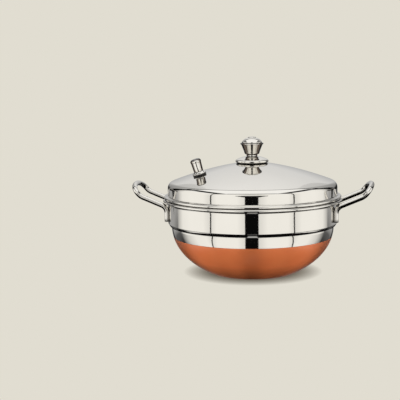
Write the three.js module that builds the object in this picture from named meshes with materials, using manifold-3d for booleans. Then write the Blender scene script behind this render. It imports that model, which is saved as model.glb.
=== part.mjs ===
// A steamer pot: a round-bottomed steel pot with a copper base and rod handles, a domed lid with a knob
// and a steam vent, and a lift-out rack of two cupped plates. Millimetres, +Z up, the origin at the
// middle of the flat base, the handles along X.

import * as THREE from 'three';
import { mergeVertices } from 'three/addons/utils/BufferGeometryUtils.js';
import Module from 'manifold-3d';

const wasm = await Module();
wasm.setup();

// Facets round a turned piece, and steps along its outline
const bigFacets = 36;
const middleFacets = 20;
const smallFacets = 14;
const cupFacets = 12;
const hexSides = 6;
const rodSides = 8;
const rodSteps = 32;
const eyeSteps = 18;
const bendSteps = 2;
const roundSteps = 3;
const bowlSteps = 4;
const domeSteps = 4;
const beadSteps = 5;
const weldDistance = 1e-4; // points closer than this are one

// Clearances
const restGap = 0.3; // between pieces that touch
const boltGap = 0.3; // between a screw or pipe and its hole, all round
const lidFit = 0.6; // lid lip inside the pot's wall, all round
const lowerPlateFit = 1.5; // lower plate inside the pot's wall, all round
const upperPlateFit = 4; // upper plate inside the lid's lip, all round
const handleRimGap = 0.5; // handle rod under the pot's rim

// Pot
const potSheet = 1.2;
const wallRadius = 125;
const baseRadius = 62;
const bowlHeight = 70; // base to the foot of the step
const stepRadius = 5.2; // rounded step from the wall in to the bowl
const wallHeight = 27.8; // straight wall above the step
const rimFlare = 2.6; // inside radius of the turn out to the rim
const rimRadius = 132;
const rimBead = 2.2;
const stepTurn = 60; // degrees of the step's outside that stand clear of the bowl
const rimFlareTurn = 70; // degrees of the turn out to the bead
const rimBeadFrom = 225; // degrees round the bead, from under it over to the inside
const rimBeadTo = 510;
const rimInsideFrom = 95; // degrees where the inside turns down from the bead

// Copper base
const copperSkin = 0.8;
const copperTop = 54.4;
const copperBlend = 5; // height over which the bowl thins above the copper

// Handles
const rodDiameter = 7.5;
const weldFlat = 1.9; // from the rod's middle to its flat on the wall
const loopWidth = 68; // between the middles of the two legs
const legLength = 21;
const footBend = 9; // run of the bend on each side of its corner
const legRise = 22.5; // degrees
const straightLength = 38;
const upturnRadius = 20;
const upturnRise = 52; // degrees
const loopReach = 13.5; // end of the upturn to the middle of the loop
const cubicReach = 0.75; // share of its pull that the middle of a cubic curve reaches

// Lid
const lidSheet = 1;
const lidRimRadius = 130.9;
const lidBead = 2.3;
const lidFlare = 2.6;
const lipDepth = 10; // lip below the lid's rim
const skirtHeight = 9; // straight skirt above the flare
const shoulderRadius = 9.5;
const domeEdgeSlope = 21; // degrees
const domeCentreSlope = 6.5; // degrees
const lidFlareTurn = 70; // degrees of the turn out to the bead
const lidBeadFrom = 130; // degrees round the bead, from its top over to under it
const lidBeadTo = -140;

// Knob
const knobScrewRadius = 3;
const screwHeadRadius = 5.5;
const screwHeadHeight = 3.2;
const screwHeadRound = 1.1;
const screwEnd = 2; // screw past the knob's nut
const knobWasherRadius = 9;
const knobWasherThickness = 1.2;
const knobSeatRadius = 13;
const knobBaseRadius = 24.3;
const knobBaseEdge = 5.2; // thickness of the base by its rounded edge
const knobBaseHeight = 8; // seat to the neck
const knobBaseBulge = 0.77; // share of the rise that the slope's middle is drawn to
const knobEdgeTo = 55; // degrees round the base's edge, from its foot
const knobNeckRadius = 8;
const knobNeckHeight = 3;
const cupFootRadius = 9.4;
const cupRimRadius = 16.6;
const cupHeight = 16.6; // neck to the rim
const cupWall = 1.2;
const cupFloor = 1.6;
const capRadius = 14.8;
const capHeight = 8.4;
const capButtonRadius = 5.6;
const capButtonHeight = 1.4;
const capPlugDepth = 2.5;
const nutFlats = 10; // across the flats of each small nut
const nutHeight = 5;

// Steam vent and whistle
const ventRadius = 82; // from the lid's axis
const ventAzimuth = 207; // degrees from +X
const ventPipeRadius = 4.2;
const ventBore = 2;
const ventPipeAbove = 8; // pipe above the collar
const ventPipeBelow = 8; // pipe below the lid
const collarRadius = 10;
const collarTopRadius = 7.4;
const collarHeight = 3;
const collarRound = 0.6;
const collarRoundTo = 50; // degrees round the collar's edge, from its foot
const gasketRadius = 9.6;
const gasketThickness = 1.8;
const ventInnerGap = 0.8; // washer below the lid's curved inside
const ventWasherRadius = 8.5;
const ventWasherThickness = 1;
const ventNutFlats = 13;
const ventNutHeight = 4;
const whistleRadius = 7.9; // at the shoulder
const whistleFootRadius = 6.9;
const whistleHeight = 18.1;
const whistleRound = 3.4;
const whistleFit = 0.4;
const whistleHole = 1.4;

// Rack
const plateSheet = 0.8;
const plateLip = 4; // turned-down edge
const plateEdgeRound = 1.6;
const cupCount = 5;
const cupSheet = 0.8;
const cupMouth = 35.5;
const cupDepth = 16;
const cupFlange = 3; // flat flange of a cup, past its hole in the plate
const cupMargin = 9; // cup to the plate's edge
const steamHole = 1.7;
const steamHolesRound = 3;
const steamRing = 17;
const tierSpacing = 38;
const rodRadius = 3;
const rodEnd = 1.8; // rod below its nut
const sleeveRadius = 6;
const rackWasherRadius = 8;
const rackWasherThickness = 1.2;
const bossRadius = 5.6;
const bossHeight = 10;
const bossBore = 6; // depth of the rod in the boss
const eyeRadius = 11.5;
const eyeRod = 2.3;

// Materials
const polishedSteel = { color: 0xdcdad5, metalness: 1, roughness: 0.12 };
const satinSteel = { color: 0xc9c9c6, metalness: 1, roughness: 0.3 };
const copper = { color: 0xb8683c, metalness: 1, roughness: 0.35 };
const silicone = { color: 0x2a2826, metalness: 0, roughness: 0.6 };

// Points along a round stretch of an outline, from one angle to another in degrees.
function arc(centreR, centreZ, radius, fromDegrees, toDegrees, steps) {
  const points = [];
  for (let i = 0; i <= steps; i += 1) {
    const angle = THREE.MathUtils.degToRad(fromDegrees + ((toDegrees - fromDegrees) * i) / steps);
    points.push([centreR + radius * Math.cos(angle), centreZ + radius * Math.sin(angle)]);
  }
  return points;
}

// A solid turned about Z from an outline of [radius, height] points. An outline that starts and ends
// on the axis is open there, and any other closes on itself.
function turned(outline, facets) {
  const points = outline.map(([r, z]) => new THREE.Vector2(r, z));
  const onAxis = points[0].x === 0 && points.at(-1).x === 0;
  if (!onAxis) {
    points.push(points[0].clone());
  }
  if (THREE.ShapeUtils.area(points) < 0) {
    points.reverse();
  }
  return new THREE.LatheGeometry(points, facets).rotateX(Math.PI / 2);
}

// A flat ring, such as a washer or a sleeve.
function ring(inner, outer, fromZ, toZ, facets) {
  return turned([[inner, fromZ], [outer, fromZ], [outer, toZ], [inner, toZ]], facets);
}

// A round bar standing on fromZ.
function bar(radius, fromZ, toZ, facets) {
  return turned([[0, fromZ], [radius, fromZ], [radius, toZ], [0, toZ]], facets);
}

// A hexagon nut with a round hole, standing on fromZ.
function hexNut(flats, hole, fromZ, height) {
  const outline = new THREE.Shape();
  const corner = flats / Math.sqrt(3);
  for (let i = 0; i < hexSides; i += 1) {
    const angle = (2 * Math.PI * i) / hexSides;
    outline[i === 0 ? 'moveTo' : 'lineTo'](corner * Math.cos(angle), corner * Math.sin(angle));
  }
  outline.closePath();
  outline.holes.push(new THREE.Path().absarc(0, 0, hole, 0, 2 * Math.PI, true));
  const options = { depth: height, bevelEnabled: false, curveSegments: smallFacets };
  return new THREE.ExtrudeGeometry(outline, options).translate(0, 0, fromZ);
}

// Geometry to a solid that can be joined and cut, and back.
function solid(geometry) {
  const bare = geometry.clone();
  bare.deleteAttribute('normal');
  bare.deleteAttribute('uv');
  const merged = mergeVertices(bare, weldDistance);
  const vertProperties = new Float32Array(merged.attributes.position.array);
  const triVerts = new Uint32Array(merged.index.array);
  return new wasm.Manifold(new wasm.Mesh({ numProp: 3, vertProperties, triVerts }));
}

function surface(manifold) {
  const mesh = manifold.getMesh();
  const geometry = new THREE.BufferGeometry();
  geometry.setAttribute('position', new THREE.BufferAttribute(mesh.vertProperties, 3));
  geometry.setIndex(new THREE.BufferAttribute(mesh.triVerts, 1));
  geometry.computeVertexNormals();
  return geometry;
}

function piece(name, geometry, look) {
  const mesh = new THREE.Mesh(geometry, new THREE.MeshStandardMaterial(look));
  mesh.name = name;
  return mesh;
}

// Pot outline. The bowl is the lower part of an ellipse, cut flat at the base. An inset outline lies
// that far inside the outer surface.
const bowlRadius = wallRadius - stepRadius;
const bowlDrop = bowlHeight / Math.sqrt(1 - (baseRadius / bowlRadius) ** 2);
const wallBottom = bowlHeight + stepRadius;
const wallTop = wallBottom + wallHeight;
const wallInside = wallRadius - potSheet;
const rimHeight = wallTop + rimFlare + rimBead;
const rimCentre = rimRadius - rimBead;

function bowlCurve(inset, fromZ, toZ, steps) {
  const across = bowlRadius - inset;
  const down = bowlDrop - inset;
  const fromAngle = Math.asin((bowlHeight - fromZ) / down);
  const toAngle = Math.asin((bowlHeight - toZ) / down);
  const points = [];
  for (let i = 0; i <= steps; i += 1) {
    const angle = fromAngle + ((toAngle - fromAngle) * i) / steps;
    points.push([across * Math.cos(angle), bowlHeight - down * Math.sin(angle)]);
  }
  return points;
}

const copperInset = copperSkin + restGap;
const floorInset = copperInset + potSheet;

function kadaiBowl() {
  const shoulder = copperTop + restGap;
  return turned([
    [0, copperInset],
    ...bowlCurve(copperInset, copperInset, shoulder, bowlSteps),
    ...bowlCurve(0, shoulder, bowlHeight, bendSteps),
    ...arc(bowlRadius, wallBottom, stepRadius, -stepTurn, 0, bendSteps),
    ...arc(wallRadius + rimFlare, wallTop, rimFlare, 180, 180 - rimFlareTurn, bendSteps),
    ...arc(rimCentre, rimHeight, rimBead, rimBeadFrom, rimBeadTo, beadSteps),
    ...arc(wallRadius + rimFlare, wallTop, rimFlare + potSheet, rimInsideFrom, 180, bendSteps),
    ...arc(bowlRadius, wallBottom, stepRadius - potSheet, 0, -90, bendSteps),
    [bowlRadius - potSheet, bowlHeight + potSheet],
    ...bowlCurve(potSheet, bowlHeight, shoulder + copperBlend, 1),
    ...bowlCurve(floorInset, shoulder, floorInset, bowlSteps),
    [0, floorInset],
  ], bigFacets);
}

// The copper: a flat disc that the pot stands on, and the skin round the bowl above it.
function baseDisc() {
  return turned([
    [0, 0],
    ...bowlCurve(0, 0, copperSkin, 1),
    [0, copperSkin],
  ], bigFacets);
}

function copperBowlSkin() {
  return turned([
    ...bowlCurve(0, copperInset, copperTop, bowlSteps),
    ...bowlCurve(copperSkin, copperTop, copperInset, bowlSteps),
  ], bigFacets);
}

// Handle: one leg from its foot on the wall to the loop, the loop, and the other leg back.
const legMiddle = wallRadius + restGap + weldFlat;
const legX = Math.sqrt(legMiddle ** 2 - (loopWidth / 2) ** 2);
const rodHalf = rodDiameter / 2;
const riseAngle = THREE.MathUtils.degToRad(legRise);
const upturnAngle = THREE.MathUtils.degToRad(upturnRise);
const underRim = (rimBead + rodHalf + handleRimGap) / Math.cos(riseAngle);
const legCorner = rimHeight - underRim - (rimCentre - legMiddle) * Math.tan(riseAngle);

function handleRoute() {
  const along = (angle, length) => new THREE.Vector3(length * Math.cos(angle), 0, length * Math.sin(angle));
  const tangent = upturnRadius * Math.tan((upturnAngle - riseAngle) / 2);
  const corner = new THREE.Vector3(legX, 0, legCorner);
  const foot = corner.clone().setZ(legCorner - legLength);
  const bendStart = corner.clone().setZ(legCorner - footBend);
  const bendEnd = corner.clone().add(along(riseAngle, footBend));
  const upturnStart = corner.clone().add(along(riseAngle, straightLength));
  const upturnCorner = upturnStart.clone().add(along(riseAngle, tangent));
  const upturnEnd = upturnCorner.clone().add(along(upturnAngle, tangent));
  const loopPull = upturnEnd.clone().add(along(upturnAngle, loopReach / cubicReach));
  const near = (point) => point.clone().setY(-loopWidth / 2);
  const far = (point) => point.clone().setY(loopWidth / 2);
  const route = new THREE.CurvePath();
  route.add(new THREE.LineCurve3(near(foot), near(bendStart)));
  route.add(new THREE.QuadraticBezierCurve3(near(bendStart), near(corner), near(bendEnd)));
  route.add(new THREE.LineCurve3(near(bendEnd), near(upturnStart)));
  route.add(new THREE.QuadraticBezierCurve3(near(upturnStart), near(upturnCorner), near(upturnEnd)));
  route.add(new THREE.CubicBezierCurve3(near(upturnEnd), near(loopPull), far(loopPull), far(upturnEnd)));
  route.add(new THREE.QuadraticBezierCurve3(far(upturnEnd), far(upturnCorner), far(upturnStart)));
  route.add(new THREE.LineCurve3(far(upturnStart), far(bendEnd)));
  route.add(new THREE.QuadraticBezierCurve3(far(bendEnd), far(corner), far(bendStart)));
  route.add(new THREE.LineCurve3(far(bendStart), far(foot)));
  return route;
}

function handle() {
  const section = new THREE.Shape();
  for (let i = 0; i < rodSides; i += 1) {
    const angle = (2 * Math.PI * i) / rodSides;
    section[i === 0 ? 'moveTo' : 'lineTo'](rodHalf * Math.cos(angle), rodHalf * Math.sin(angle));
  }
  const options = { steps: rodSteps, extrudePath: handleRoute(), bevelEnabled: false };
  const rod = solid(new THREE.ExtrudeGeometry(section, options));
  const wall = solid(bar(wallRadius + restGap, bowlHeight, legCorner + rodDiameter, bigFacets));
  return surface(rod.subtract(wall));
}

// Lid outline. The dome's slope grows evenly from its centre to its edge.
const lidRimHeight = rimHeight + rimBead + restGap + lidBead;
const lidFlareHeight = lidRimHeight + lidBead + lidFlare;
const skirtTop = lidFlareHeight + skirtHeight;
const lipRadius = wallInside - lidFit;
const edgeAngle = THREE.MathUtils.degToRad(domeEdgeSlope);
const domeEdge = wallRadius - shoulderRadius * (1 - Math.sin(edgeAngle));
const domeEdgeHeight = skirtTop + shoulderRadius * Math.cos(edgeAngle);
const centreTangent = Math.tan(THREE.MathUtils.degToRad(domeCentreSlope));
const edgeTangent = Math.tan(edgeAngle);
const screwHole = knobScrewRadius + boltGap;
const pipeHole = ventPipeRadius + boltGap;

function domeTangent(r) {
  return centreTangent + ((edgeTangent - centreTangent) * r) / domeEdge;
}

function domeHeight(r) {
  return domeEdgeHeight + ((domeTangent(r) + edgeTangent) / 2) * (domeEdge - r);
}

// Points across the dome from one radius to another, at a depth below its outer surface.
function domeCurve(fromR, toR, depth, steps) {
  const points = [];
  for (let i = 0; i <= steps; i += 1) {
    const r = fromR + ((toR - fromR) * i) / steps;
    const slope = Math.atan(domeTangent(r));
    points.push([r - depth * Math.sin(slope), domeHeight(r) - depth * Math.cos(slope)]);
  }
  return points;
}

function lidShell() {
  const lipInside = lipRadius - lidSheet;
  const inwards = 90 - domeEdgeSlope;
  const shell = turned([
    ...domeCurve(screwHole, domeEdge, 0, domeSteps),
    ...arc(wallRadius - shoulderRadius, skirtTop, shoulderRadius, inwards, 0, roundSteps).slice(1),
    ...arc(wallRadius + lidFlare, lidFlareHeight, lidFlare, 180, 180 + lidFlareTurn, bendSteps),
    ...arc(lidRimRadius - lidBead, lidRimHeight, lidBead, lidBeadFrom, lidBeadTo, beadSteps),
    [lipRadius, lidRimHeight],
    [lipRadius, lidRimHeight - lipDepth],
    [lipInside, lidRimHeight - lipDepth],
    [lipInside, lidRimHeight + lidBead],
    [wallRadius - lidSheet, lidFlareHeight],
    ...arc(wallRadius - shoulderRadius, skirtTop, shoulderRadius - lidSheet, 0, inwards, roundSteps),
    ...domeCurve(domeEdge, screwHole, lidSheet, domeSteps).slice(1, -1),
    [screwHole, domeHeight(screwHole) - lidSheet],
  ], bigFacets);
  const drill = bar(pipeHole, -ventPipeBelow, collarHeight, smallFacets).applyMatrix4(ventPlace());
  return surface(solid(shell).subtract(solid(drill)));
}

// Knob, from its seat on the dome upwards.
const knobSeat = domeHeight(knobSeatRadius) + restGap;
const neckFoot = knobSeat + knobBaseHeight + restGap;
const cupFoot = neckFoot + knobNeckHeight;
const cupRim = cupFoot + cupHeight;
const cupFloorTop = cupFoot + cupFloor;
const knobNutFoot = cupFloorTop + restGap;
const capFoot = cupRim + restGap;
const cupInside = cupRimRadius - 2 * cupWall;
const lidUnderside = (r) => domeHeight(r) - lidSheet / Math.cos(Math.atan(domeTangent(r)));
const washerTop = (r) => lidUnderside(r) - restGap;
const screwHeadTop = washerTop(knobWasherRadius) - knobWasherThickness - restGap;

function knobBase() {
  const round = knobBaseEdge / 2;
  const edgeR = knobBaseRadius - round;
  const edgeZ = domeHeight(edgeR) + restGap + round;
  const edge = arc(edgeR, edgeZ, round, -90, knobEdgeTo, beadSteps);
  const slopeFoot = new THREE.Vector2(...edge.at(-1));
  const slopeTop = new THREE.Vector2(cupFootRadius, knobSeat + knobBaseHeight);
  return turned([
    [screwHole, domeHeight(screwHole) + restGap],
    [knobSeatRadius, knobSeat],
    ...edge,
    ...shallowRise(slopeFoot, slopeTop),
    [screwHole, slopeTop.y],
  ], middleFacets);
}

// A gently bulging slope between two points of an outline, leaving out its first point.
function shallowRise(foot, top) {
  const bulge = new THREE.Vector2((foot.x + top.x) / 2, foot.y + (top.y - foot.y) * knobBaseBulge);
  const curve = new THREE.QuadraticBezierCurve(foot, bulge, top);
  return curve.getPoints(roundSteps).slice(1).map((point) => [point.x, point.y]);
}

function knobCup() {
  return turned([
    [screwHole, neckFoot],
    [knobNeckRadius, neckFoot],
    [knobNeckRadius, cupFoot - cupWall],
    [cupFootRadius, cupFoot],
    [cupRimRadius - cupWall, cupRim - cupWall],
    [cupRimRadius, cupRim - cupWall / 2],
    [cupRimRadius - cupWall / 2, cupRim],
    [cupInside, cupRim],
    [cupFootRadius - cupWall, cupFloorTop],
    [screwHole, cupFloorTop],
  ], middleFacets);
}

function knobCap() {
  const buttonFoot = capFoot + capHeight - capButtonHeight;
  const plugRadius = cupInside - cupWall;
  return turned([
    [0, capFoot - capPlugDepth],
    [plugRadius - cupWall, capFoot - capPlugDepth],
    [plugRadius, capFoot],
    [capRadius, capFoot],
    [capRadius, capFoot + capButtonHeight],
    [(capRadius + capButtonRadius) / 2 + capButtonHeight, buttonFoot - capButtonHeight],
    [capButtonRadius + capButtonHeight, buttonFoot],
    [capButtonRadius, capFoot + capHeight],
    [0, capFoot + capHeight],
  ], middleFacets);
}

function knobScrew() {
  const tip = knobNutFoot + nutHeight + screwEnd;
  return turned([
    [0, screwHeadTop - screwHeadHeight],
    [screwHeadRadius - screwHeadRound, screwHeadTop - screwHeadHeight],
    [screwHeadRadius, screwHeadTop - screwHeadHeight + screwHeadRound],
    [screwHeadRadius, screwHeadTop],
    [knobScrewRadius, screwHeadTop],
    [knobScrewRadius, tip],
    [0, tip],
  ], smallFacets);
}

function knobWasher() {
  return turned([
    [screwHole, screwHeadTop + restGap],
    [knobWasherRadius, screwHeadTop + restGap],
    [knobWasherRadius, washerTop(knobWasherRadius)],
    [screwHole, washerTop(screwHole)],
  ], smallFacets);
}

// Steam vent: built along its own axis, then stood square on the dome.
function ventPlace() {
  const slope = Math.atan(domeTangent(ventRadius));
  const tilt = new THREE.Matrix4().makeRotationY(slope).setPosition(ventRadius, 0, domeHeight(ventRadius));
  return new THREE.Matrix4().makeRotationZ(THREE.MathUtils.degToRad(ventAzimuth)).multiply(tilt);
}

const collarFoot = restGap + gasketThickness + restGap;
const collarTop = collarFoot + collarHeight;
const ventWasherTop = -lidSheet - ventInnerGap;
const ventNutTop = ventWasherTop - ventWasherThickness - restGap;
const whistleFoot = collarTop + restGap;

function ventSeat() {
  return turned([
    [ventBore, -lidSheet - ventPipeBelow],
    [ventPipeRadius, -lidSheet - ventPipeBelow],
    [ventPipeRadius, collarFoot],
    ...arc(collarRadius - collarRound, collarFoot + collarRound, collarRound, -90, collarRoundTo, roundSteps),
    [collarTopRadius, collarTop],
    [ventPipeRadius, collarTop],
    [ventPipeRadius, collarTop + ventPipeAbove],
    [ventBore, collarTop + ventPipeAbove],
  ], smallFacets);
}

function whistleCap() {
  const top = whistleFoot + whistleHeight;
  const bore = ventPipeRadius + whistleFit;
  const chamber = collarTop + ventPipeAbove + ventPipeRadius;
  return turned([
    [bore, whistleFoot],
    [whistleFootRadius, whistleFoot],
    ...arc(whistleRadius - whistleRound, top - whistleRound, whistleRound, 0, 90, roundSteps),
    [whistleHole, top],
    [whistleHole, chamber + bore],
    [bore, chamber],
  ], smallFacets);
}

// Rack. The lower plate's edge stands on the inside of the pot's step.
const lowerPlateRadius = wallInside - lowerPlateFit;
const upperPlateRadius = lipRadius - lidSheet - upperPlateFit;
const ledgeRadius = stepRadius - potSheet;
const ledgeHeight = wallBottom - Math.sqrt(ledgeRadius ** 2 - (lowerPlateRadius - bowlRadius) ** 2);
const lowerPlateTop = ledgeHeight + restGap + plateLip;
const upperPlateTop = lowerPlateTop + tierSpacing;
const rodHole = rodRadius + boltGap;
const rodWasherTop = lowerPlateTop - plateSheet - restGap;
const rodNutTop = rodWasherTop - rackWasherThickness - restGap;
const rodNutFoot = rodNutTop - nutHeight;
const topWasherFoot = upperPlateTop + restGap;
const bossFoot = topWasherFoot + rackWasherThickness + restGap;

// Cups: the inside is part of a sphere, whose middle is this far above the plate's top.
const cupCentre = (cupMouth ** 2 - cupDepth ** 2) / (2 * cupDepth);
const cupInner = cupCentre + cupDepth;
const cupOuter = cupInner + cupSheet;
const flangeTop = restGap + cupSheet;
const cupMiddle = flangeTop + cupCentre;
const cupHole = Math.sqrt(cupOuter ** 2 - cupMiddle ** 2) + boltGap;

// Where the cups stand on a plate, and how each is turned.
function cupPlaces(radius, turn) {
  const pitch = radius - cupMargin - cupMouth;
  const places = [];
  for (let i = 0; i < cupCount; i += 1) {
    const angle = turn + (2 * Math.PI * i) / cupCount;
    places.push({ x: pitch * Math.cos(angle), y: pitch * Math.sin(angle), angle });
  }
  return places;
}

// A plate with its top at z 0: a disc with a turned-down edge and a round hole for each cup.
function idliPlate(radius, turn) {
  const rounding = plateEdgeRound;
  const disc = turned([
    [rodHole, 0],
    ...arc(radius - rounding, -rounding, rounding, 90, 0, bendSteps),
    [radius, -plateLip],
    [radius - plateSheet, -plateLip],
    ...arc(radius - rounding, -rounding, rounding - plateSheet, 0, 90, bendSteps),
    [rodHole, -plateSheet],
  ], bigFacets);
  const hole = bar(cupHole, -plateLip, plateLip, cupFacets);
  let plate = solid(disc);
  for (const { x, y, angle } of cupPlaces(radius, turn)) {
    plate = plate.subtract(solid(hole.clone().rotateZ(angle)).translate(x, y, 0));
  }
  return surface(plate);
}

// A pressed cup with steam holes. Its flange lies on the plate, whose top is at z 0.
function idliCup() {
  const innerBrim = THREE.MathUtils.radToDeg(Math.asin(cupCentre / cupInner));
  const outerBrim = THREE.MathUtils.radToDeg(Math.asin((cupMiddle - restGap) / cupOuter));
  const flangeEdge = cupHole + cupFlange;
  const bottom = cupMiddle - cupOuter;
  const shell = turned([
    [0, bottom],
    ...arc(0, cupMiddle, cupOuter, -90, -outerBrim, roundSteps).slice(1),
    [flangeEdge, restGap],
    [flangeEdge, flangeTop],
    ...arc(0, cupMiddle, cupInner, -innerBrim, -90, roundSteps).slice(0, -1),
    [0, bottom + cupSheet],
  ], cupFacets);
  const hole = solid(bar(steamHole, bottom - cupSheet, 0, hexSides));
  let cup = solid(shell);
  for (let i = 0; i < steamHolesRound; i += 1) {
    const angle = (2 * Math.PI * i) / steamHolesRound;
    cup = cup.subtract(hole.translate(steamRing * Math.cos(angle), steamRing * Math.sin(angle), 0));
  }
  return surface(cup);
}

// A plate and its cups, with the plate's top at a height.
function plateWithCups(tier, radius, turn, top) {
  const group = new THREE.Group();
  group.position.z = top;
  group.add(piece(`${tier}_idli_plate`, idliPlate(radius, turn), satinSteel));
  cupPlaces(radius, turn).forEach(({ x, y, angle }, i) => {
    const cup = piece(`${tier}_idli_cup_${i + 1}`, idliCup(), satinSteel);
    cup.position.set(x, y, 0);
    cup.rotation.z = angle;
    group.add(cup);
  });
  return group;
}

function liftingEye() {
  const boss = turned([
    [0, bossFoot + bossBore],
    [rodHole, bossFoot + bossBore],
    [rodHole, bossFoot],
    [bossRadius, bossFoot],
    [bossRadius, bossFoot + bossHeight - eyeRod],
    [bossRadius - eyeRod, bossFoot + bossHeight],
    [0, bossFoot + bossHeight],
  ], smallFacets);
  const eye = new THREE.TorusGeometry(eyeRadius, eyeRod, rodSides, eyeSteps).rotateX(Math.PI / 2);
  eye.translate(0, 0, bossFoot + bossHeight + eyeRadius - eyeRod / 2);
  return surface(solid(boss).add(solid(eye)));
}

const pot = new THREE.Group();
pot.add(piece('kadai_bowl', kadaiBowl(), polishedSteel));
pot.add(piece('base_disc', baseDisc(), copper));
pot.add(piece('copper_skin', copperBowlSkin(), copper));
pot.add(piece('right_handle', handle(), polishedSteel));
const leftHandle = piece('left_handle', handle(), polishedSteel);
leftHandle.rotation.z = Math.PI;
pot.add(leftHandle);

const lid = new THREE.Group();
lid.add(piece('lid_shell', lidShell(), polishedSteel));
lid.add(piece('knob_base', knobBase(), polishedSteel));
lid.add(piece('knob_cup', knobCup(), polishedSteel));
lid.add(piece('knob_cap', knobCap(), polishedSteel));
lid.add(piece('knob_screw', knobScrew(), satinSteel));
lid.add(piece('knob_washer', knobWasher(), satinSteel));
lid.add(piece('knob_nut', hexNut(nutFlats, screwHole, knobNutFoot, nutHeight), satinSteel));

const vent = new THREE.Group();
vent.applyMatrix4(ventPlace());
const gasket = ring(pipeHole, gasketRadius, restGap, restGap + gasketThickness, smallFacets);
const ventWasherFoot = ventWasherTop - ventWasherThickness;
const ventNutFoot = ventNutTop - ventNutHeight;
const ventWasher = ring(pipeHole, ventWasherRadius, ventWasherFoot, ventWasherTop, smallFacets);
vent.add(piece('vent_gasket', gasket, silicone));
vent.add(piece('vent_seat', ventSeat(), polishedSteel));
vent.add(piece('vent_washer', ventWasher, satinSteel));
vent.add(piece('vent_nut', hexNut(ventNutFlats, pipeHole, ventNutFoot, ventNutHeight), satinSteel));
vent.add(piece('whistle_cap', whistleCap(), polishedSteel));
lid.add(vent);

const rack = new THREE.Group();
const sleeveFoot = lowerPlateTop + restGap;
const sleeveTop = upperPlateTop - plateSheet - restGap;
const rodFoot = rodNutFoot - rodEnd;
const rodTop = bossFoot + bossBore - restGap;
const rodWasherFoot = rodWasherTop - rackWasherThickness;
const topWasherTop = topWasherFoot + rackWasherThickness;
const rodWasher = ring(rodHole, rackWasherRadius, rodWasherFoot, rodWasherTop, smallFacets);
const topWasher = ring(rodHole, rackWasherRadius, topWasherFoot, topWasherTop, smallFacets);
rack.add(plateWithCups('lower', lowerPlateRadius, 0, lowerPlateTop));
rack.add(plateWithCups('upper', upperPlateRadius, Math.PI / cupCount, upperPlateTop));
rack.add(piece('centre_rod', bar(rodRadius, rodFoot, rodTop, smallFacets), satinSteel));
rack.add(piece('spacer_sleeve', ring(rodHole, sleeveRadius, sleeveFoot, sleeveTop, smallFacets), satinSteel));
rack.add(piece('rod_washer', rodWasher, satinSteel));
rack.add(piece('rod_nut', hexNut(nutFlats, rodHole, rodNutFoot, nutHeight), satinSteel));
rack.add(piece('top_washer', topWasher, satinSteel));
rack.add(piece('lifting_eye', liftingEye(), polishedSteel));

const steamerPot = new THREE.Group();
steamerPot.add(pot);
steamerPot.add(lid);
steamerPot.add(rack);

export default steamerPot;
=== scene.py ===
import math

import bmesh
import bpy
from mathutils import Matrix, Quaternion, Vector
from mathutils.geometry import interpolate_bezier


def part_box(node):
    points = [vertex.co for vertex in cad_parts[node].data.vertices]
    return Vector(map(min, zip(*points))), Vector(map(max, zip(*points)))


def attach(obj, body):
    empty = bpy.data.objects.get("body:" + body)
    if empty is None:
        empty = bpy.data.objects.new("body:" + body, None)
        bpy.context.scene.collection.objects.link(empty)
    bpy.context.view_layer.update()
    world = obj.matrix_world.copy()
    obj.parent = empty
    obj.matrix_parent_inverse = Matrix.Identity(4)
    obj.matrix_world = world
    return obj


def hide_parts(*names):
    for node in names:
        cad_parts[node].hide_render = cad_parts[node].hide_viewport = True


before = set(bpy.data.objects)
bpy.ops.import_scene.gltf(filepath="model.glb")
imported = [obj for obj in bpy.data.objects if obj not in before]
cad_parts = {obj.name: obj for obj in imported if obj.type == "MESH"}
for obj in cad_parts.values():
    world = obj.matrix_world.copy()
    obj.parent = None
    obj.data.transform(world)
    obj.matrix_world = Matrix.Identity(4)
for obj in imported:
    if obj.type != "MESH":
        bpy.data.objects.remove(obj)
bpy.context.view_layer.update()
scene = bpy.context.scene
print("frame loaded:", len(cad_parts), "nodes")

# The pieces' sizes are in mm and degrees, and the studio's in metres and degrees.
mm = 0.001
mergeDistance = 0.002 * mm  # points closer than this are one
slimDistance = 0.001 * mm  # faces slimmer than this are taken out
levelDistance = 0.01 * mm  # points within this are level
sharpAngle = math.radians(32)  # edges that turn more than this stay sharp


# Small helpers: colour, nodes, outlines and turned shapes

def linear(hexColour):
    channels = [int(hexColour[i:i + 2], 16) / 255 for i in (1, 3, 5)]
    return [c / 12.92 if c <= 0.04045 else ((c + 0.055) / 1.055) ** 2.4 for c in channels] + [1]


def addNode(tree, kind, sockets=None, **settings):
    node = tree.nodes.new(kind)
    for name, value in settings.items():
        setattr(node, name, value)
    for name, value in (sockets or {}).items():
        if isinstance(value, bpy.types.NodeSocket):
            tree.links.new(value, node.inputs[name])
        else:
            node.inputs[name].default_value = value
    return node


def newMaterial(name):
    material = bpy.data.materials.new(name)
    material.use_nodes = True
    material.node_tree.nodes.clear()
    return material, material.node_tree


def setSurface(tree, shader):
    addNode(tree, "ShaderNodeOutputMaterial", {"Surface": shader})


def blend(tree, share, first, second):
    return addNode(tree, "ShaderNodeMix", {"Factor": share, "A": first, "B": second},
                   data_type="RGBA").outputs["Result"]


def maths(tree, operation, first, second):
    return addNode(tree, "ShaderNodeMath", {0: first, 1: second}, operation=operation).outputs["Value"]


def noise(tree, spot, size, detail, **settings):
    return addNode(tree, "ShaderNodeTexNoise", {"Vector": spot, "Scale": 1 / size, "Detail": detail},
                   **settings).outputs["Fac"]


def heightOf(tree, vector):
    return addNode(tree, "ShaderNodeSeparateXYZ", {"Vector": vector}).outputs["Z"]


def arc(centreR, centreZ, radius, start, end, steps):
    angles = [math.radians(start + (end - start) * i / steps) for i in range(steps + 1)]
    return [(centreR + radius * math.cos(a), centreZ + radius * math.sin(a)) for a in angles]


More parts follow.
